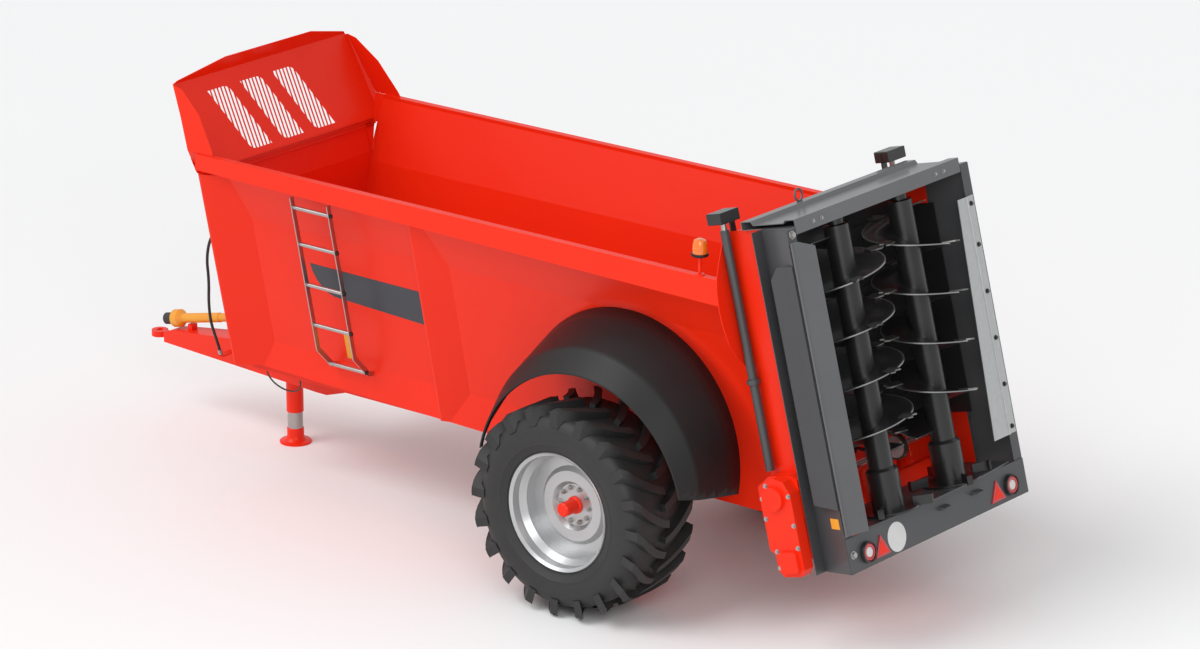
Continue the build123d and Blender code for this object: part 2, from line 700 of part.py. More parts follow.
# ---------------------------------------------------------------- drawbar
BAR_SIDE = [(-4930, 520), (-3200, 510), (-2600, 700), (-2600, 744.8), (-3400, 744.8),
            (-3640, 780), (-4850, 630), (-4930, 590)]
BAR_PLAN = [(-4930, 60), (-3300, 180), (-2600, 180)]
BAR_SHEET = 10.0
bar_plan = [(AX + x, y) for x, y in BAR_PLAN] + [(AX + x, -y) for x, y in BAR_PLAN[::-1]]
with BuildPart() as cavity:
    with BuildSketch(side(0)):
        outline([(AX + x, z) for x, z in BAR_SIDE])
        offset(amount=-BAR_SHEET, mode=Mode.REPLACE)
    extrude(amount=200, both=True)
    with BuildSketch(Plane.XY.offset(500)):
        outline(bar_plan)
        offset(amount=-BAR_SHEET, mode=Mode.REPLACE)
    extrude(amount=300, mode=Mode.INTERSECT)
with BuildPart() as drawbar:
    with BuildSketch(side(0)):
        outline([(AX + x, z) for x, z in BAR_SIDE])
    extrude(amount=200, both=True)
    with BuildSketch(Plane.XY.offset(500)):
        outline(bar_plan)
    extrude(amount=300, mode=Mode.INTERSECT)
    add(cavity.part, mode=Mode.SUBTRACT)
    with BuildSketch(Plane.XY.offset(480)):
        with Locations((LEG_X, 0)):
            Circle(63.1)
    extrude(amount=400, mode=Mode.SUBTRACT)
    with BuildSketch(Plane.XY.offset(640)):
        with Locations((AX - 4690, 0)):
            Rectangle(40, 60)
    extrude(amount=57)
    with BuildSketch(Plane.XY.offset(636)):
        with Locations((AX - 4140, -205)):
            Rectangle(60, 190)
    extrude(amount=8)
save(drawbar.part, "drawbar")

with BuildPart() as eye:
    with BuildSketch(Plane.XY.offset(EYE_Z - 22)):
        with Locations((EYE_X, 0)):
            Circle(62)
            Circle(25, mode=Mode.SUBTRACT)
        with Locations((EYE_X + 76, 0)):
            Rectangle(41, 56)
    extrude(amount=44)
save(eye.part, "hitch_eye")

with BuildPart() as leg_tube:
    with BuildSketch(Plane.XY.offset(240)):
        with Locations((LEG_X, 0)):
            Circle(63)
            Circle(LEG_R + RUN, mode=Mode.SUBTRACT)
    extrude(amount=545)
    with BuildSketch(Plane.XY.offset(785)):
        with Locations((LEG_X, 0)):
            Circle(63)
    extrude(amount=8)
save(leg_tube.part, "leg_tube")

with BuildPart() as leg:
    with BuildSketch(Plane.XY):
        with Locations((LEG_X, 0)):
            Circle(117)
    extrude(amount=16)
    with BuildSketch(Plane.XY.offset(16)):
        with Locations((LEG_X, 0)):
            Circle(84)
    extrude(amount=34, taper=25)
    with BuildSketch(Plane.XY.offset(30)):
        with Locations((LEG_X, 0)):
            Circle(62)
    extrude(amount=85)
    with BuildSketch(Plane.XY.offset(100)):
        with Locations((LEG_X, 0)):
            Circle(LEG_R)
    extrude(amount=550)
save(leg.part, "leg")

# Drive shaft from the tractor, its guard, and the driveline under the floor
PTO_RUN = math.hypot(PTO_REAR[0] - PTO_FRONT[0], PTO_REAR[1] - PTO_FRONT[1])
pto_dir = ((PTO_REAR[0] - PTO_FRONT[0]) / PTO_RUN, 0, (PTO_REAR[1] - PTO_FRONT[1]) / PTO_RUN)
pto = Plane(origin=(PTO_FRONT[0], 0, PTO_FRONT[1]), x_dir=(0, 1, 0), z_dir=pto_dir)
with BuildPart() as pto_shaft:
    for radius, low, high in ((44, 0, 84), (20, 60, PTO_RUN - 10), (34, PTO_RUN - 80, PTO_RUN - 12)):
        with BuildSketch(pto.offset(low)):
            Circle(radius)
        extrude(amount=high - low)
    with BuildSketch(pto.offset(-1)):
        Circle(17.5)
    extrude(amount=60, mode=Mode.SUBTRACT)
save(pto_shaft.part, "pto_shaft")

with BuildPart() as pto_guard:
    pto_profile = Plane(origin=(PTO_FRONT[0], 0, PTO_FRONT[1]), x_dir=pto_dir, z_dir=(0, -1, 0))
    with BuildSketch(pto_profile):
        folded([(92, 66), (150, 66), (185, 36), (560, 36), (562, 32), (1020, 32), (1060, 56),
                (1096, 56)], -4)
    revolve(axis=Axis((PTO_FRONT[0], 0, PTO_FRONT[1]), pto_dir))
save(pto_guard.part, "pto_guard")

with BuildPart() as driveline:
    with BuildSketch(station(PTO_REAR[0] + 12)):
        with Locations((0, DRIVE_Z)):
            Circle(34)
    extrude(amount=66)
    with BuildSketch(station(PTO_REAR[0] + 70)):
        with Locations((0, DRIVE_Z)):
            Circle(DRIVE_R)
    extrude(amount=AX + 1480 - PTO_REAR[0] - 70)
save(driveline.part, "driveline")

# ---------------------------------------------------------------- fittings
with BuildPart() as side_gearbox:
    with BuildSketch(flank(-BOX_Y - 0.3)):
        outline([(-345, 385), (-12, 385), (-12, 640), (-60, 668), (-240, 668), (-345, 600)])
        with Locations((SHAFT_N, SHAFT_T)):
            Circle(SHAFT_R + RUN, mode=Mode.SUBTRACT)
    extrude(amount=125)
    with BuildSketch(flank(-BOX_Y - 125)):
        outline([(-262, 395), (-262, 560), (-205, 650), (-130, 676), (-55, 650), (-12, 570),
                 (-12, 60), (-44, 18), (-180, 18), (-222, 60), (-222, 170), (-262, 200)])
    extrude(amount=95)
    with BuildSketch(flank(-BOX_Y - 219)):
        with Locations((-150, 545)):
            Circle(84)
        with Locations((-110, 120)):
            RectangleRounded(150, 150, 30)
    extrude(amount=30, taper=8)
save(side_gearbox.part, "side_gearbox")

RAM_Y = 925.0
with BuildPart() as rams:
    with BuildSketch(across.offset(690)):
        with Locations((-RAM_Y, -DOOR_N), (RAM_Y, -DOOR_N)):
            Circle(30)
    extrude(amount=1600)
    with BuildSketch(across.offset(1180)):
        with Locations((-RAM_Y, -DOOR_N), (RAM_Y, -DOOR_N)):
            Circle(20 + RUN)
    extrude(amount=1200, mode=Mode.SUBTRACT)
    with BuildSketch(across.offset(1270)):
        with Locations((-RAM_Y, -DOOR_N), (RAM_Y, -DOOR_N)):
            Circle(44)
            Circle(29, mode=Mode.SUBTRACT)
    extrude(amount=30)
save(rams.part, "ram_cylinders")

with BuildPart() as rods:
    with BuildSketch(across.offset(1200)):
        with Locations((-RAM_Y, -DOOR_N), (RAM_Y, -DOOR_N)):
            Circle(20)
    extrude(amount=1140)
save(rods.part, "ram_rods")

with BuildPart() as door:
    with BuildSketch(rear.offset(DOOR_N - 6)):
        outline(both_sides([(862, DOOR_LOW), (862, 2400), (812, 2400), (812, DOOR_HIGH)]))
    extrude(amount=12)
    with BuildSketch(rear.offset(DOOR_N)):
        for t in (780, 1180, 1580, 1980):
            with Locations((0, t)):
                Rectangle(1660, 46)
    extrude(amount=20)
    with BuildSketch(rear.offset(DOOR_N - 55)):
        with Locations((-915, 2378), (915, 2378)):
            RectangleRounded(196, 76, 8)
    extrude(amount=114)
save(door.part, "slurry_door")

# Ladder of flat bars with round rungs on the left wall
LADDER_X = (AX - 2724.0, AX - 2384.0)
LADDER = [(-1048, 2283), (-800, 1110), (-652, 955), (-601.5, 944)]
RUNGS = [(-1012, 2210), (-953, 1930), (-888, 1620), (-822, 1310), (-668, 985)]
with BuildPart() as ladder:
    for x in LADDER_X:
        with BuildSketch(station(x)):
            folded(LADDER, 36)
        extrude(amount=8)
    with BuildSketch(station(LADDER_X[0] + 4)):
        with Locations(*RUNGS):
            Circle(14)
    extrude(amount=LADDER_X[1] - LADDER_X[0])
save(ladder.part, "ladder")

with BuildPart() as beacon:
    with BuildSketch(Plane.XY.offset(RAIL_TOP + 0.2)):
        with Locations((AX + 810, -988)):
            Rectangle(70, 40)
    extrude(amount=6)
    with BuildSketch(Plane.XY.offset(RAIL_TOP)):
        with Locations((AX + 810, -988)):
            Circle(12)
    extrude(amount=130)
    with BuildSketch(Plane.XY.offset(RAIL_TOP + 128)):
        with Locations((AX + 810, -988)):
            Circle(58)
    extrude(amount=20)
    with BuildSketch(Plane.XY.offset(RAIL_TOP + 148)):
        with Locations((AX + 810, -988)):
            Circle(50)
    extrude(amount=95, taper=4)
    fillet(beacon.edges().filter_by(GeomType.CIRCLE).sort_by(Axis.Z)[-1], radius=20)
save(beacon.part, "beacon")


def cord(points, radius):
    """A tube along straight runs joined by the largest tangent arcs they allow."""
    corners = [Vector(*p) for p in points]
    radii = []
    for a, b, c in zip(corners, corners[1:], corners[2:]):
        turn = math.radians((b - a).get_angle(c - b))
        radii.append(0.45 * min((b - a).length, (c - b).length) / math.tan(turn / 2))
    print("arc radii", [round(r) for r in radii])
    with BuildPart() as tube_part:
        with BuildLine() as route:
            FilletPolyline(*points, radius=radii)
        path = route.wires()[0]
        with BuildSketch(Plane(origin=path @ 0, z_dir=path % 0)):
            Circle(radius)
        sweep(path=path)
    print("length", round(path.length), "volume ratio",
          round(tube_part.part.volume / (math.pi * radius**2 * path.length), 4))
    return tube_part.part


HOSE_R = 11.0
HOSE = [(WALL_X - SHEET - 3.7, -300, 1700), (WALL_X - 140, -300, 1742), (WALL_X - 300, -302, 1740),
        (WALL_X - 455, -304, 1670), (WALL_X - 580, -303, 1540), (WALL_X - 628, -300, 1370),
        (WALL_X - 610, -298, 1200), (WALL_X - 622, -296, 1030), (WALL_X - 608, -294, 880),
        (WALL_X - 560, -292, 770), (WALL_X - 528, -290, 682)]
CABLE_R = 6.0
CABLE = [(AX - 3790, -147.8, 690), (AX - 3745, -240, 650), (AX - 3640, -318, 598),
         (AX - 3520, -362, 566), (AX - 3390, -386, 556), (AX - 3270, -412, 585),
         (AX - 3196, -452, 655), (AX - 3166, -500, 741)]
save(cord(HOSE, HOSE_R), "hydraulic_hose")
save(cord(CABLE, CABLE_R), "light_cable")

last = Vector(*HOSE[-1])
aim = (last - Vector(*HOSE[-2])).normalized()
with BuildPart() as coupler:
    with BuildSketch(Plane(origin=last, z_dir=aim)):
        RegularPolygon(17, 6)
    extrude(amount=26)
    with BuildSketch(Plane(origin=last + aim * 26, z_dir=aim)):
        Circle(14)
    extrude(amount=7)
save(coupler.part, "hose_coupler")
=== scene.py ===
import math

import bmesh
import bpy
from mathutils import Matrix, Vector


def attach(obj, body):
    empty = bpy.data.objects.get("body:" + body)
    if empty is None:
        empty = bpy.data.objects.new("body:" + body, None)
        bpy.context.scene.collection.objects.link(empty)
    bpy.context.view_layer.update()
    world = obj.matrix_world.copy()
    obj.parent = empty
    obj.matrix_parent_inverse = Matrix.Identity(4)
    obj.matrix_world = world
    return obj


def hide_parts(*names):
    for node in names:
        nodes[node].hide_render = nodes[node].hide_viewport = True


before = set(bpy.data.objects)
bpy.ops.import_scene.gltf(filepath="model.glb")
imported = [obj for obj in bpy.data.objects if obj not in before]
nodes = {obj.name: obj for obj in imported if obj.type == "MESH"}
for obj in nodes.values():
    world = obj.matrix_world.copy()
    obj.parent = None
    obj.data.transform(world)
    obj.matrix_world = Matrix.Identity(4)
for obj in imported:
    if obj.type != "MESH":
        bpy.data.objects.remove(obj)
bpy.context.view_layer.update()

# ---- Camera and lamps
# A long lens behind the left rear corner, looking slightly down. The light is a pale sky,
# a soft sun from the front left and a square lamp at the rear left.
AXLE = 1.4672                      # the wheel axis, along the machine
camera = bpy.data.objects.new("camera", bpy.data.cameras.new("camera"))
bpy.context.collection.objects.link(camera)
camera.data.lens = 146.96
camera.data.sensor_width = 36.0
camera.data.clip_end = 200.0
camera.location = (19.2692 + AXLE, -24.8101, 12.0288)
camera.rotation_euler = (math.radians(90 - 18.264), 0.0, math.radians(38.995))
bpy.context.scene.camera = camera
bpy.context.scene.view_settings.view_transform = "Standard"

sky = bpy.data.worlds.new("sky")
bpy.context.scene.world = sky
sky.use_nodes = True
sky.node_tree.nodes["Background"].inputs["Color"].default_value = (0.94, 0.95, 0.96, 1)
sky.node_tree.nodes["Background"].inputs["Strength"].default_value = 0.74

for name, kind, energy, place in (("key", "SUN", 1.4, (-4.0, -6.5, 8.5)),
                                  ("fill", "AREA", 420.0, (9.0, -9.0, 7.0))):
    light = bpy.data.lights.new(name, kind)
    light.energy = energy
    if kind == "SUN":
        light.angle = math.radians(38)
    else:
        light.size = 6.0
    lamp = bpy.data.objects.new(name, light)
    bpy.context.collection.objects.link(lamp)
    lamp.location = place
    lamp.rotation_euler = Vector(place).to_track_quat("Z", "Y").to_euler()

# ---- Hydraulic hose and lighting cable
# A rubber hose arches out of the front wall and hangs to its coupler beside the drawbar.
# A thin cable sags from the drawbar to the chassis beam. The coupler is turned steel.


def finish(name, colour, drift, scale, rough, metal=0.0, coat=0.0, grain=180.0, bump=0.05,
           swing=0.08):
    """A solid finish: two close colours in broad drifts, wandering gloss and a fine grain."""
    material = bpy.data.materials.new(name)
    material.use_nodes = True
    tree = material.node_tree
    shader = tree.nodes["Principled BSDF"]
    place = tree.nodes.new("ShaderNodeTexCoord")
    broad = tree.nodes.new("ShaderNodeTexNoise")
    broad.inputs["Scale"].default_value = scale
    broad.inputs["Detail"].default_value = 6.0
    broad.inputs["Roughness"].default_value = 0.6
    tree.links.new(place.outputs["Object"], broad.inputs["Vector"])
    blend = tree.nodes.new("ShaderNodeMix")
    blend.data_type = "RGBA"
    blend.inputs["A"].default_value = (*colour, 1)
    blend.inputs["B"].default_value = (*drift, 1)
    tree.links.new(broad.outputs["Fac"], blend.inputs["Factor"])
    tree.links.new(blend.outputs["Result"], shader.inputs["Base Color"])
    wander = tree.nodes.new("ShaderNodeMapRange")
    wander.inputs["To Min"].default_value = rough - swing
    wander.inputs["To Max"].default_value = rough + swing
    tree.links.new(broad.outputs["Fac"], wander.inputs["Value"])
    tree.links.new(wander.outputs["Result"], shader.inputs["Roughness"])
    fine = tree.nodes.new("ShaderNodeTexNoise")
    fine.inputs["Scale"].default_value = grain
    fine.inputs["Detail"].default_value = 2.0
    tree.links.new(place.outputs["Object"], fine.inputs["Vector"])
    relief = tree.nodes.new("ShaderNodeBump")
    relief.inputs["Strength"].default_value = bump
    relief.inputs["Distance"].default_value = 0.002
    tree.links.new(fine.outputs["Fac"], relief.inputs["Height"])
    tree.links.new(relief.outputs["Normal"], shader.inputs["Normal"])
    shader.inputs["Metallic"].default_value = metal
    shader.inputs["Coat Weight"].default_value = coat
    shader.inputs["Coat Roughness"].default_value = 0.12
    return material


def paint(material, *names):
    """Give CAD nodes a finish."""
    for node_name in names:
        nodes[node_name].data.materials.clear()
        nodes[node_name].data.materials.append(material)


hose_rubber = finish("hose_rubber", (0.010, 0.010, 0.010), (0.018, 0.018, 0.018), 30.0, 0.5,
                     grain=600, bump=0.1)
steel = finish("bare_steel", (0.40, 0.385, 0.375), (0.50, 0.485, 0.475), 18.0, 0.36, metal=1.0,
               grain=300, bump=0.05)


def laid_cord(name, route, radius, node):
    """A round cord along a smooth route, standing for its CAD tube."""
    curve = bpy.data.curves.new(name, "CURVE")
    curve.dimensions = "3D"
    curve.bevel_depth = radius
    curve.bevel_resolution = 4
    curve.use_fill_caps = True
    line = curve.splines.new("NURBS")
    line.points.add(len(route) - 1)
    for point, place in zip(line.points, route):
        point.co = (*place, 1.0)
    line.order_u = 3
    line.use_endpoint_u = True
    line.resolution_u = 12
    curve.materials.append(hose_rubber)
    piece = bpy.data.objects.new(name, curve)
    bpy.context.collection.objects.link(piece)
    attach(piece, "chassis")
    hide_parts(node)
    return piece


HOPPER_FRONT = AXLE - 3.615        # the hopper's front wall
hose_route = [(HOPPER_FRONT + x, y, z) for x, y, z in (
    (-0.0087, -0.300, 1.700), (-0.140, -0.300, 1.742), (-0.300, -0.302, 1.740),
    (-0.455, -0.304, 1.670), (-0.580, -0.303, 1.540), (-0.628, -0.300, 1.370),
    (-0.610, -0.298, 1.200), (-0.622, -0.296, 1.030), (-0.608, -0.294, 0.880),
    (-0.560, -0.292, 0.770), (-0.528, -0.290, 0.682))]
hose = laid_cord("hydraulic_hose_line", hose_route, 0.011, "hydraulic_hose")

cable_route = [(AXLE + x, y, z) for x, y, z in (
    (-3.790, -0.1478, 0.690), (-3.745, -0.240, 0.650), (-3.640, -0.318, 0.598),
    (-3.520, -0.362, 0.566), (-3.390, -0.386, 0.556), (-3.270, -0.412, 0.585),
    (-3.196, -0.452, 0.655), (-3.166, -0.500, 0.741))]
cable = laid_cord("light_cable_line", cable_route, 0.006, "light_cable")
paint(steel, "hose_coupler")

# ---- Studio floor
# A wide pale ground at the height that the tyres stand on. It is a backdrop and not part
# of the machine.


def keep(name, shape, material, body, place=None, smooth=False):
    """Turn a finished shape into a piece that moves with a body."""
    if place is not None:
        shape.transform(place)
    mesh = bpy.data.meshes.new(name)
    shape.to_mesh(mesh)
    shape.free()
    mesh.materials.append(material)
    if smooth:
        mesh.shade_smooth()
        mesh.set_sharp_from_angle(angle=math.radians(35))
    piece = bpy.data.objects.new(name, mesh)
    bpy.context.collection.objects.link(piece)
    if body:
        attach(piece, body)
    return piece


ground = bmesh.new()
bmesh.ops.create_grid(ground, x_segments=1, y_segments=1, size=80.0)
keep("studio_ground", ground,
              finish("studio_floor", (0.87, 0.87, 0.87), (0.88, 0.88, 0.88), 0.3, 0.9, grain=5,
                     bump=0.0), None)

# ---- Hopper body and headboard
# Folded sheet walls with outside posts and rails, sprayed bright red. The leaning headboard
# has three barred windows. Narrow webs close the corners between headboard, wings and walls.
red = finish("red_paint", (0.870, 0.0240, 0.0030), (0.800, 0.0190, 0.002), 1.3, 0.38, coat=0.08,
             grain=60, bump=0.03)
# A deeper, more saturated copy of the red paint for the hopper's inside: painted shade.
shaded_inside_red = finish("red_paint_inside_shaded", (0.850, 0.0160, 0.001), (0.780, 0.0120, 0.001), 2.2, 0.46,
                    coat=0.05, grain=40, bump=0.06)
for paintwork in (red, shaded_inside_red):
    paintwork.node_tree.nodes["Principled BSDF"].inputs["Specular IOR Level"].default_value = 0.24
paint(red, "hopper_wall_left", "hopper_wall_right", "wall_posts", "top_rail_left",
      "top_rail_right", "headboard", "headboard_wings", "headboard_grilles")
paint(shaded_inside_red, "hopper_floor", "front_wall")

SHEET = 0.004                      # thickness of the closing webs and laps
HEAD_SIN, HEAD_COS = math.sin(math.radians(24.2)), math.cos(math.radians(24.2))


def on_head(y, h):
    """A point on the headboard's plane, h up its slope."""
    return AXLE - 3.672 - HEAD_SIN * h, y, 2.250 + HEAD_COS * h


for side_name, hand in (("left", -1), ("right", 1)):
    web = bmesh.new()
    rim_points = [on_head(0.904, 0.652), (AXLE - 3.925, 0.9077, 2.848),
                  (AXLE - 3.731, 0.990, 2.4245), (AXLE - 3.634, 0.988, 2.4245),
                  (AXLE - 3.634, 0.963, 2.398), (AXLE - 3.634, 0.903, 2.235),
                  on_head(0.906, -0.020), on_head(0.956, 0.022)]
    hub = web.verts.new(on_head(0.966, 0.120))
    rim_verts = [web.verts.new(p) for p in rim_points]
    for a, b in zip(rim_verts, rim_verts[1:]):
        web.faces.new((hub, a, b))
    for vert in web.verts:
        vert.co.y *= hand
    bmesh.ops.recalc_face_normals(web, faces=web.faces[:])
    piece = keep("headboard_web_" + side_name, web, red, "chassis")
    wall = piece.modifiers.new("wall", "SOLIDIFY")
    wall.thickness = SHEET
    wall.offset = 0.0


def plate(name, corners, thickness, material, body="chassis"):
    """A thin flat plate raised from its corners towards the side they turn about."""
    sheet = bmesh.new()
    face = sheet.faces.new([sheet.verts.new(c) for c in corners])
    sheet.normal_update()
    lift = face.normal * thickness
    raised = bmesh.ops.extrude_face_region(sheet, geom=[face])
    bmesh.ops.translate(sheet, vec=lift,
                        verts=[v for v in raised["geom"] if isinstance(v, bmesh.types.BMVert)])
    bmesh.ops.recalc_face_normals(sheet, faces=sheet.faces[:])
    return keep(name, sheet, material, body)


def on_lap(s, y):
    """A point on the steep panel between front wall and headboard."""
    return AXLE - 3.6125 - 0.0495 * s, y, 2.035 + 0.183 * s


plate("headboard_lap", [on_lap(0.94, -0.888), on_lap(0.94, 0.888), on_lap(1.15, 0.904),
                        on_lap(1.15, -0.904)], SHEET, shaded_inside_red)
for side_name, hand in (("left", -1), ("right", 1)):
    corners = [on_lap(0.0, 0.800 * hand), on_lap(0.0, 0.812 * hand), on_lap(1.1, 0.900 * hand),
               on_lap(1.1, 0.800 * hand)]
    plate("lap_corner_" + side_name, corners[::hand], SHEET, shaded_inside_red)

# ---- Side band and small plates
# A plain dark film band and a small plain yellow plate. Both are thin sheets stuck to the
# left wall's lower panel.


def on_wall(x, z):
    """A point just off the left wall's lower panel."""
    return AXLE + x, -(0.592 + 0.2144 * (z - 1.0)) - 0.0008, z


yellow = finish("yellow_plastic", (0.83, 0.36, 0.030), (0.76, 0.31, 0.025), 8.0, 0.42, grain=200,
                bump=0.05)
band = finish("dark_film", (0.030, 0.033, 0.042), (0.040, 0.043, 0.052), 4.0, 0.33, grain=250,
              bump=0.02)
plate("side_band", [on_wall(-1.757, 1.715), on_wall(-2.818, 1.724), on_wall(-2.806, 1.665),
                    on_wall(-2.776, 1.600), on_wall(-2.732, 1.548), on_wall(-2.680, 1.515),
                    on_wall(-2.631, 1.500), on_wall(-1.757, 1.460)], 0.001, band)
plate("side_plate", [on_wall(-2.53, 1.24), on_wall(-2.61, 1.24), on_wall(-2.61, 1.03),
                     on_wall(-2.53, 1.03)], 0.001, yellow)

# ---- Ladder
# Flat steel stiles with round rungs, bare and weathered. The ladder is fixed to the left
# wall; the bolt heads on its rear stile come with the side gearbox's.
paint(steel, "ladder")

# ---- Chassis, axle and moving floor
# Box-section beams and the axle are painted red. The moving floor's chains and slats are
# oily steel, and its two shafts are bare.
paint(red, "chassis_frame", "axle_beam")
oily = finish("oiled_steel", (0.045, 0.043, 0.040), (0.095, 0.088, 0.082), 14.0, 0.45, metal=0.8,
              grain=160, bump=0.12)
paint(oily, "conveyor_chains", "conveyor_slats", "driveline")
paint(steel, "conveyor_drive_shaft", "conveyor_idler_shaft")

# ---- Drawbar, support leg and drive shaft
# A welded red drawbar with a red eye, a sliding leg with a bright rod and a dished red foot,
# and a drive shaft inside a yellow plastic guard.
paint(red, "drawbar", "hitch_eye", "leg_tube")
paint(oily, "pto_shaft")
paint(yellow, "pto_guard")


def turned(profile, segments):
    """A closed round part turned about Z from a profile of radius and height."""
    part = bmesh.new()
    ring = [part.verts.new((r, 0, z)) for r, z in profile]
    edges = [part.edges.new(pair) for pair in zip(ring, ring[1:])]
    bmesh.ops.spin(part, geom=ring + edges, cent=(0, 0, 0), axis=(0, 0, 1), angle=math.tau,
                   steps=segments, use_merge=True)
    bmesh.ops.remove_doubles(part, verts=part.verts[:], dist=0.00005)
    bmesh.ops.recalc_face_normals(part, faces=part.faces[:])
    return part


LEG_AXIS = Matrix.Translation((AXLE - 3.6776, 0, 0))
piece = keep("leg_foot_plate",
             turned([(0.0, 0.0), (0.117, 0.0), (0.117, 0.012), (0.112, 0.016), (0.084, 0.018),
                     (0.070, 0.034), (0.0625, 0.050), (0.0620, 0.110), (0.0585, 0.1148),
                     (0.0, 0.1148)], 56), red, "leg", LEG_AXIS, smooth=True)
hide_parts("leg")
piece = keep("leg_rod", turned([(0.0, 0.1149), (0.056, 0.1149), (0.056, 0.646), (0.052, 0.650),
                                (0.0, 0.650)], 56), steel, "leg", LEG_AXIS, smooth=True)
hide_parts("leg")

# ---- Wheels
# Pressed silver rims on red hubs, and radial farm tyres: a hollow carcass with ribbed side
# walls and two rows of long curved bars set half a pitch apart.
silver = finish("silver_paint", (0.47, 0.475, 0.48), (0.54, 0.545, 0.55), 6.0, 0.33, metal=0.70,
                coat=0.25, grain=400, bump=0.02)
rubber = finish("tyre_rubber", (0.0125, 0.0125, 0.0130), (0.026, 0.0255, 0.025), 9.0, 0.58,
                grain=240, bump=0.18)
paint(silver, "wheel_rim_left", "wheel_rim_right")
paint(red, "wheel_hub_left", "wheel_hub_right")
paint(steel, "wheel_nuts_left", "wheel_nuts_right")
SIDE_WALL = [(0.397, 0.214), (0.397, 0.248), (0.413, 0.260), (0.421, 0.262), (0.425, 0.270),
             (0.434, 0.272), (0.440, 0.277), (0.470, 0.288), (0.474, 0.292), (0.482, 0.293),
             (0.486, 0.291), (0.515, 0.2965), (0.545, 0.2985), (0.575, 0.2965), (0.592, 0.292),
             (0.620, 0.280), (0.645, 0.262), (0.660, 0.235), (0.668, 0.190), (0.672, 0.120),
             (0.675, 0.040)]
BARS = 20                          # bars in each row of the tread
TYRE_OUT = 1.2                     # a tyre's middle, out from the machine's middle
TYRE_UP = 0.732                    # the wheel axis above the ground


def tread_bar():
    """One bar of the tread, bent from a flat block onto the carcass."""
    block = bmesh.new()
    bmesh.ops.create_grid(block, x_segments=2, y_segments=9, size=0.5)
    top = bmesh.ops.extrude_face_region(block, geom=block.faces[:])
    raised = {v for v in top["geom"] if isinstance(v, bmesh.types.BMVert)}
    for vert in block.verts:
        along = vert.co.y + 0.5
        out = 0.2955 * along - 0.012 * (1 - along)
        sweep = -0.012 - 0.215 * along ** 1.15 + 0.02 * math.sin(math.pi * along)
        width = vert.co.x * (0.056 + 0.020 * along)
        if vert in raised:
            radius = 0.7275 - max(0.0, out - 0.262) * 0.60
            width *= 0.80
        else:
            radius = 0.655 if along < 0.9 else 0.600
        turn = (sweep + width) / 0.72
        vert.co = (radius * math.sin(turn), -out, radius * math.cos(turn))
    crest = [e for e in block.edges if all(v in raised for v in e.verts)
             and len(e.link_faces) == 2 and abs(e.calc_face_angle(0.0)) > 0.7]
    bmesh.ops.bevel(block, geom=crest, offset=0.004, segments=2, profile=0.5, affect="EDGES",
                    material=-1)
    bmesh.ops.recalc_face_normals(block, faces=block.faces[:])
    mesh = bpy.data.meshes.new("bar")
    block.to_mesh(mesh)
    block.free()
    return mesh


bar = tread_bar()
for side_name, hand in (("left", -1), ("right", 1)):
    tyre = bmesh.new()
    ring = [tyre.verts.new((0, s, r)) for r, s in SIDE_WALL + [(r, -s) for r, s in SIDE_WALL[::-1]]]
    edges = [tyre.edges.new(pair) for pair in zip(ring, ring[1:] + ring[:1])]
    bmesh.ops.spin(tyre, geom=ring + edges, cent=(0, 0, 0), axis=(0, 1, 0), angle=math.tau,
                   steps=96, use_merge=True)
    bmesh.ops.recalc_face_normals(tyre, faces=tyre.faces[:])
    for k in range(BARS):
        for row, lag in ((1, 0.0), (-1, 0.5)):
            before = len(tyre.verts)
            tyre.from_mesh(bar)
            fresh = tyre.verts[before:]
            if row < 0:
                bmesh.ops.scale(tyre, vec=(1, -1, 1), verts=fresh)
                bmesh.ops.reverse_faces(tyre, faces=list({f for v in fresh for f in v.link_faces}))
            bmesh.ops.rotate(tyre, verts=fresh, cent=(0, 0, 0),
                             matrix=Matrix.Rotation(math.tau * (k + lag) / BARS, 3, "Y"))
    if hand > 0:
        bmesh.ops.scale(tyre, vec=(1, -1, 1), verts=tyre.verts[:])
        bmesh.ops.reverse_faces(tyre, faces=tyre.faces[:])
    piece = keep("farm_tyre_" + side_name, tyre, rubber, "wheel_" + side_name,
                 Matrix.Translation((AXLE, hand * TYRE_OUT, TYRE_UP)), smooth=True)
    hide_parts("tyre_" + side_name)
bpy.data.meshes.remove(bar)

# ---- Mudguards
# Moulded black plastic covers that flare down over the tyres, with a turned-in outer lip.
# Each row of ROWS is a distance out from the middle and how far the lip tucks in there.
plastic = finish("moulded_plastic", (0.0080, 0.0080, 0.0084), (0.0120, 0.0120, 0.0124), 3.0, 0.44,
                 grain=500, bump=0.10)
plastic.node_tree.nodes["Principled BSDF"].inputs["Specular IOR Level"].default_value = 0.35
GUARD = [(-1.400, 0.130, 0.830, 0.870), (-1.250, 0.127, 0.930, 0.905),
         (-0.850, 0.120, 1.080, 0.930)]      # across, arc centre along and up, arc radius
ROWS = [(-1.388, 0.024), (-1.399, 0.012), (-1.400, 0.0), (-1.392, 0.0), (-1.36, 0.0),
        (-1.31, 0.0), (-1.265, 0.0), (-1.25, 0.0), (-1.235, 0.0), (-1.19, 0.0), (-1.10, 0.0),
        (-0.97, 0.0), (-0.85, 0.0)]
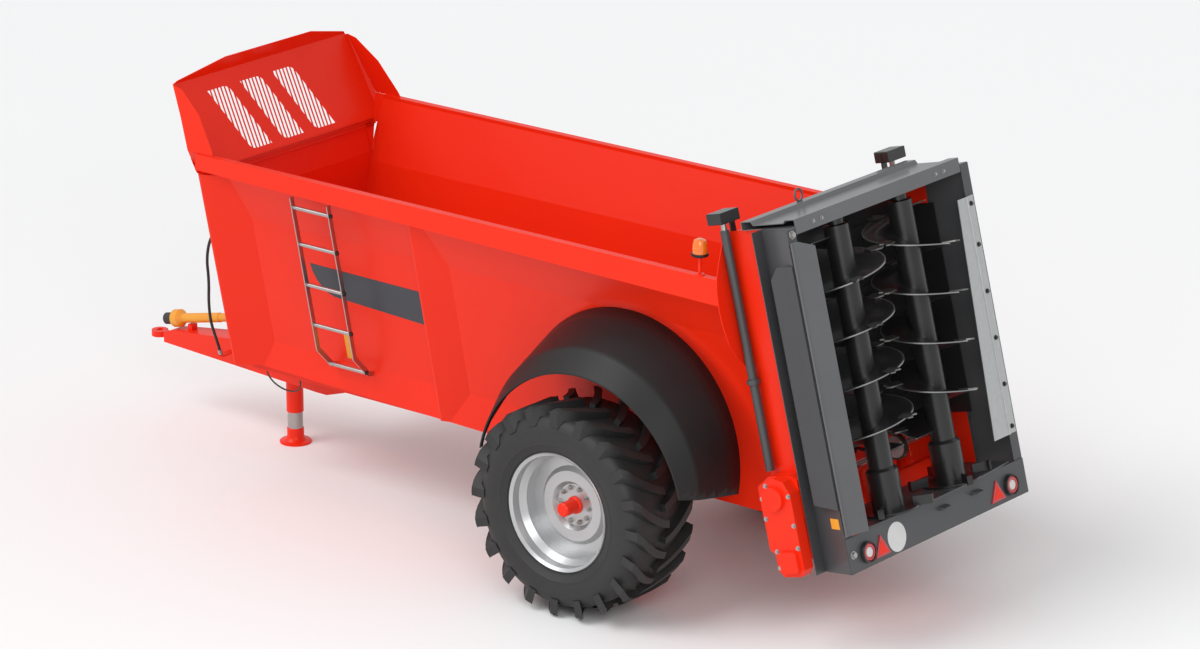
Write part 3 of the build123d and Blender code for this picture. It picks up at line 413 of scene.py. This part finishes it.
for side_name, hand in (("left", 1), ("right", -1)):
    cover = bmesh.new()
    bmesh.ops.create_grid(cover, x_segments=72, y_segments=len(ROWS) - 1, size=0.5)
    for vert in cover.verts:
        y, tuck = ROWS[round((vert.co.y + 0.5) * (len(ROWS) - 1))]
        low, high = GUARD[:2] if y <= GUARD[1][0] else GUARD[1:]
        share = (y - low[0]) / (high[0] - low[0])
        x, z, r = (a + (b - a) * share for a, b in zip(low[1:], high[1:]))
        angle = math.radians(-40 + 260 * (vert.co.x + 0.5))
        vert.co = (AXLE + x + (r - tuck) * math.cos(angle), y, z + (r - tuck) * math.sin(angle))
    for front, low, high in ((True, (-1.5, 0.916), (-0.8, 1.564)),
                             (False, (-1.5, 1.045), (-0.8, 0.920))):
        half = [f for f in cover.faces if (f.calc_center_median().x < AXLE + 0.129) == front]
        geom = list({v for f in half for v in f.verts} | {e for f in half for e in f.edges}
                    | set(half))
        bmesh.ops.bisect_plane(cover, geom=geom, plane_co=(0, *low),
                               plane_no=(0, high[1] - low[1], low[0] - high[0]), clear_outer=True)
    if hand < 0:
        bmesh.ops.scale(cover, vec=(1, -1, 1), verts=cover.verts[:])
    bmesh.ops.remove_doubles(cover, verts=cover.verts[:], dist=0.0002)
    bmesh.ops.recalc_face_normals(cover, faces=cover.faces[:])
    if max(cover.faces, key=lambda f: f.calc_center_median().z).normal.z < 0:
        bmesh.ops.reverse_faces(cover, faces=cover.faces[:])
    piece = keep("mudguard_cover_" + side_name, cover, plastic, "chassis",
                 smooth=True)
    wall = piece.modifiers.new("wall", "SOLIDIFY")
    wall.thickness = 0.006
    wall.offset = -1
    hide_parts("mudguards")

# ---- Rear box and hood
# The red box section carries a grey hood of folded plate, and a roof whose ends are held by
# bolts. The roof takes a lighter copy of the grey paint: painted light from above. The liners
# and the door are painted near-black: painted shade inside the box. The door's rams are grey
# with bare rods.
grey = finish("grey_paint", (0.050, 0.051, 0.054), (0.064, 0.065, 0.068), 2.5, 0.40, coat=0.12,
              grain=90, bump=0.05)
# A lighter copy of the hood's grey paint for the roof: painted light from above.
lit_roof_grey = finish("roof_grey_painted_light", (0.095, 0.096, 0.100), (0.125, 0.126, 0.130), 1.8, 0.36,
                   coat=0.2, grain=90, bump=0.05)
dark = finish("dark_paint", (0.0095, 0.0095, 0.0100), (0.018, 0.018, 0.019), 5.0, 0.34, coat=0.2,
              grain=70, bump=0.08)
paint(red, "rear_box")
paint(grey, "rear_frame", "ram_cylinders")
paint(lit_roof_grey, "rear_roof")
# Near-black on the liners and the door is painted shade inside the box.
paint(dark, "side_liners", "slurry_door")
paint(steel, "ram_rods")

LEAN_SIN, LEAN_COS = math.sin(math.radians(14.2)), math.cos(math.radians(14.2))
REAR_X, REAR_Z = AXLE + 1.788, 0.585          # foot of the leaning rear frame
REAR = Matrix(((0, -LEAN_SIN, LEAN_COS, REAR_X), (1, 0, 0, 0),
               (0, LEAN_COS, LEAN_SIN, REAR_Z), (0, 0, 0, 1)))


def rear_seat(y, t, n):
    """A seat on the leaning rear frame: y across, t up its slope, n out of it."""
    return REAR @ Matrix.Translation((y, t, n))


def bolts(name, seats, across_flats, material):
    """Hexagon heads on round washers, one at each seat, standing along its Z."""
    heads = bmesh.new()
    height = across_flats * 0.45
    for seat in seats:
        bmesh.ops.create_cone(heads, cap_ends=True, segments=24, radius1=across_flats * 0.78,
                              radius2=across_flats * 0.75, depth=height * 0.25,
                              matrix=seat @ Matrix.Translation((0, 0, height * 0.125)))
        bmesh.ops.create_cone(heads, cap_ends=True, segments=6, radius1=across_flats / 1.732,
                              radius2=across_flats / 1.80, depth=height,
                              matrix=seat @ Matrix.Translation((0, 0, height * 0.72)))
    return keep(name, heads, material, "chassis")


bolts("roof_bolts", [rear_seat(y, 2.272, 0.2915) for y in (-0.72, -0.63, 0.63, 0.72)], 0.020,
      steel)
bolts("cheek_bolts", [rear_seat(-0.955, 2.234, 0.2905), rear_seat(-0.955, 0.12, 0.2965)], 0.036,
      steel)


def on_cheek(t, n):
    """A point just off the left cheek's outer face."""
    return REAR @ Vector((-(0.9062 + 0.095 * (n - 0.006) / 0.278), t, n))


plate("cheek_plate", [on_cheek(0.30, 0.17), on_cheek(0.30, 0.26), on_cheek(0.37, 0.26),
                      on_cheek(0.37, 0.17)], 0.001, yellow)

# ---- Deflectors
# A grey painted leaf hinged on the left cheek. On the right a galvanised leaf hangs on a
# strip of the same sheet, held by a row of bolts.
LEAF_GREY = (0.085, 0.086, 0.090)
leaf_grey = finish("leaf_grey_paint", LEAF_GREY, (0.110, 0.111, 0.115), 3.0, 0.42,
                   coat=0.1, grain=90, bump=0.05)
zinc = finish("galvanised_sheet", (0.42, 0.43, 0.43), (0.55, 0.56, 0.56), 26.0, 0.42, metal=0.7,
              grain=120, bump=0.05)
paint(leaf_grey, "deflector_left")
paint(zinc, "deflector_right")
two_sides = zinc.copy()
two_sides.name = "left_grey_right_zinc"
tree = two_sides.node_tree
shader = tree.nodes["Principled BSDF"]
sheet_colour = next(n for n in tree.nodes if n.type == "MIX")
sides = tree.nodes.new("ShaderNodeSeparateXYZ")
tree.links.new(next(n for n in tree.nodes if n.type == "TEX_COORD").outputs["Object"],
               sides.inputs["Vector"])
is_right = tree.nodes.new("ShaderNodeMath")
is_right.operation = "GREATER_THAN"
is_right.inputs[1].default_value = 0.0
tree.links.new(sides.outputs["Y"], is_right.inputs[0])
choose = tree.nodes.new("ShaderNodeMix")
choose.data_type = "RGBA"
choose.inputs["A"].default_value = (*LEAF_GREY, 1)
tree.links.new(is_right.outputs["Value"], choose.inputs["Factor"])
tree.links.new(sheet_colour.outputs["Result"], choose.inputs["B"])
tree.links.new(choose.outputs["Result"], shader.inputs["Base Color"])
paint(two_sides, "deflector_mounts")
bolts("strip_bolts", [rear_seat(0.950, t, 0.2965) for t in (0.47, 0.76, 1.08, 1.40, 1.72, 2.00)],
      0.022, oily)

# ---- Light bar
# A grey bar with round lamps, red triangles in a darker border and a blank white disc.
# Lamps and markers are moulded plastic, seated on the bar's rear face.
BAR_FACE = 0.296                   # the bar's rear face, out of the rear frame
paint(grey, "light_bar")
red_lens = finish("red_lens", (0.52, 0.012, 0.022), (0.42, 0.008, 0.015), 40.0, 0.16, coat=0.7,
                  grain=320, bump=0.25, swing=0.05)
white = finish("white_plastic", (0.66, 0.66, 0.65), (0.58, 0.58, 0.57), 12.0, 0.35, grain=200,
               bump=0.04)
for side_name, hand in (("left", -1), ("right", 1)):
    for label, inner, outer, depth, material in (("bezel", 0.060, 0.072, 0.030, dark),
                                                 ("ring", 0.033, 0.0598, 0.024, red_lens),
                                                 ("centre", 0.0, 0.0328, 0.027, white)):
        profile = [(inner, 0.0), (outer, 0.0), (outer, depth * 0.8),
                   ((outer * 3 + inner) / 4, depth), ((outer + inner * 3) / 4, depth),
                   (inner, depth * 0.85)]
        piece = keep(f"lamp_{label}_{side_name}",
                     turned(profile + (profile[:1] if inner else []), 48), material, "chassis",
                     rear_seat(hand * 0.81, 0.100, BAR_FACE), smooth=True)
        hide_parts("rear_lamps")
    for label, radius, low, high, material in (("border", 0.095, 0.0, 0.0085, red_lens),
                                               ("field", 0.062, 0.0085, 0.0100, red)):
        triangle = bmesh.new()
        bmesh.ops.create_cone(triangle, cap_ends=True, segments=3, radius1=radius,
                              radius2=radius * 0.98, depth=high - low,
                              matrix=Matrix.Translation((0, 0, (high + low) / 2)))
        piece = keep(f"triangle_{label}_{side_name}", triangle, material, "chassis",
                     rear_seat(hand * 0.655, 0.078, BAR_FACE))
        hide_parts("rear_markers")
piece = keep("blank_disc", turned([(0.0, 0.0), (0.098, 0.0), (0.098, 0.0014), (0.0965, 0.002),
                                   (0.0, 0.002)], 64), white, "chassis",
             rear_seat(-0.48, 0.108, BAR_FACE))
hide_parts("rear_markers")

# ---- Spreading table and beaters
# Welded flighting on dark tubes, driven from a red gearbox under the table. The load keeps
# the flights' outer edges and the two-pronged knives bright.
paint(red, "beater_gearbox")
paint(grey, "spreading_table")
paint(dark, "beater_tube_left", "beater_tube_right", "beater_bearings")
steel_edge = finish("worn_blades", (0.085, 0.083, 0.080), (0.26, 0.255, 0.25), 16.0, 0.38,
                    metal=0.85, grain=160, bump=0.12)
BEATER_OUT, BEATER_IN = 0.350, 0.170          # a beater's axis, across and out of the frame
FLIGHT_FOOT, FLIGHT_PITCH, FLIGHT_TURNS = 0.620, 0.330, 4.5
BLADES = 14                                   # knives on each beater
for side_name, hand in (("left", -1), ("right", 1)):
    worn = dark.copy()
    worn.name = "worn_flight_" + side_name
    tree = worn.node_tree
    shader = tree.nodes["Principled BSDF"]
    coat_colour = next(n for n in tree.nodes if n.type == "MIX")
    arm = tree.nodes.new("ShaderNodeVectorMath")
    arm.operation = "SUBTRACT"
    arm.inputs[1].default_value = REAR @ Vector((hand * BEATER_OUT, 1.0, BEATER_IN))
    tree.links.new(next(n for n in tree.nodes if n.type == "TEX_COORD").outputs["Object"],
                   arm.inputs[0])
    cross = tree.nodes.new("ShaderNodeVectorMath")
    cross.operation = "CROSS_PRODUCT"
    cross.inputs[1].default_value = (-LEAN_SIN, 0, LEAN_COS)
    tree.links.new(arm.outputs[0], cross.inputs[0])
    reach = tree.nodes.new("ShaderNodeVectorMath")
    reach.operation = "LENGTH"
    tree.links.new(cross.outputs[0], reach.inputs[0])
    edge = tree.nodes.new("ShaderNodeMapRange")
    edge.inputs["From Min"].default_value = 0.268
    edge.inputs["From Max"].default_value = 0.279
    edge.inputs["To Max"].default_value = 0.85
    tree.links.new(reach.outputs["Value"], edge.inputs["Value"])
    blend = tree.nodes.new("ShaderNodeMix")
    blend.data_type = "RGBA"
    blend.inputs["B"].default_value = (0.34, 0.34, 0.34, 1)
    tree.links.new(coat_colour.outputs["Result"], blend.inputs["A"])
    tree.links.new(edge.outputs["Result"], blend.inputs["Factor"])
    tree.links.new(blend.outputs["Result"], shader.inputs["Base Color"])
    tree.links.new(edge.outputs["Result"], shader.inputs["Metallic"])
    paint(worn, "beater_flight_" + side_name)

    knives = bmesh.new()
    foot = (Matrix(((0, -LEAN_COS, -LEAN_SIN, REAR_X), (1, 0, 0, 0),
                    (0, -LEAN_SIN, LEAN_COS, REAR_Z), (0, 0, 0, 1)))
            @ Matrix.Translation((-BEATER_OUT, -BEATER_IN, FLIGHT_FOOT)))
    for k in range(BLADES):
        turn = FLIGHT_TURNS * (k + 0.35) / BLADES
        seat = (foot @ Matrix.Translation((0, 0, FLIGHT_PITCH * turn))
                @ Matrix.Rotation(math.tau * turn, 4, "Z")
                @ Matrix.Translation((0.288, 0, 0)) @ Matrix.Rotation(math.radians(10.3), 4, "X")
                @ Matrix.Translation((0, 0, 0.0058)))
        outline = [(-0.060, -0.032), (0.030, -0.040), (0.059, -0.024), (0.034, -0.006),
                   (0.034, 0.006), (0.059, 0.024), (0.030, 0.040), (-0.060, 0.032)]
        face = knives.faces.new([knives.verts.new((x, y, 0)) for x, y in outline])
        top = bmesh.ops.extrude_face_region(knives, geom=[face])
        lifted = [v for v in top["geom"] if isinstance(v, bmesh.types.BMVert)]
        bmesh.ops.translate(knives, vec=(0, 0, 0.010), verts=lifted)
        bmesh.ops.transform(knives, matrix=seat, verts=lifted + list(face.verts))
    if hand > 0:
        bmesh.ops.scale(knives, vec=(1, -1, 1), verts=knives.verts[:])
    bmesh.ops.recalc_face_normals(knives, faces=knives.faces[:])
    piece = keep("beater_blades_" + side_name, knives, steel_edge, "beater_" + side_name)
    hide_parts("beater_knives_" + side_name)

# ---- Side gearbox
# A red cast gearbox on the left cheek that drives the moving floor, its cover held by
# a ring of hexagon bolts. Bolts of the same size stand on the ladder's rear stile.
paint(red, "side_gearbox")
FACE_OUT = Matrix.Rotation(-math.pi / 2, 4, "Y")          # turns a seat to the left
bolts("gearbox_bolts", [rear_seat(-1.0955, t, n) @ FACE_OUT for n, t in (
    (-0.245, 0.41), (-0.245, 0.545), (-0.200, 0.630), (-0.028, 0.555), (-0.028, 0.36),
    (-0.028, 0.21), (-0.205, 0.19), (-0.205, 0.08))], 0.022, steel)

FACE_BACK = Matrix.Rotation(math.pi / 2, 4, "Y")          # turns a seat to the rear
bolts("rung_bolts", [Matrix.Translation((AXLE - 2.3755, y, z)) @ FACE_BACK for y, z in (
    (-1.012, 2.210), (-0.953, 1.930), (-0.888, 1.620), (-0.822, 1.310), (-0.668, 0.985))], 0.022,
      oily)

# ---- Beacon
# An amber lens on a black plastic base, carried by a red post. All three are turned parts,
# and the post stands on the left rail.
amber = finish("amber_lens", (0.86, 0.19, 0.008), (0.78, 0.14, 0.008), 30.0, 0.14, coat=0.8,
               grain=90, bump=0.08, swing=0.04)
for label, profile, material, slot in (
        ("post", [(0.0, 0.0), (0.034, 0.0), (0.034, 0.006), (0.012, 0.008), (0.012, 0.126),
                  (0.0, 0.126)], red, "red_paint"),
        ("base", [(0.0, 0.1261), (0.052, 0.1261), (0.058, 0.131), (0.058, 0.146), (0.0, 0.146)],
         plastic, "black_plastic"),
        ("lens", [(0.0, 0.1461), (0.050, 0.1461), (0.049, 0.172), (0.0505, 0.174),
                  (0.0475, 0.212), (0.040, 0.231), (0.024, 0.2405), (0.0, 0.2425)], amber,
         "amber_plastic")):
    piece = keep("beacon_" + label, turned(profile, 40), material, "chassis",
                 Matrix.Translation((AXLE + 0.810, -0.988, 2.425)), smooth=True)
    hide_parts("beacon")
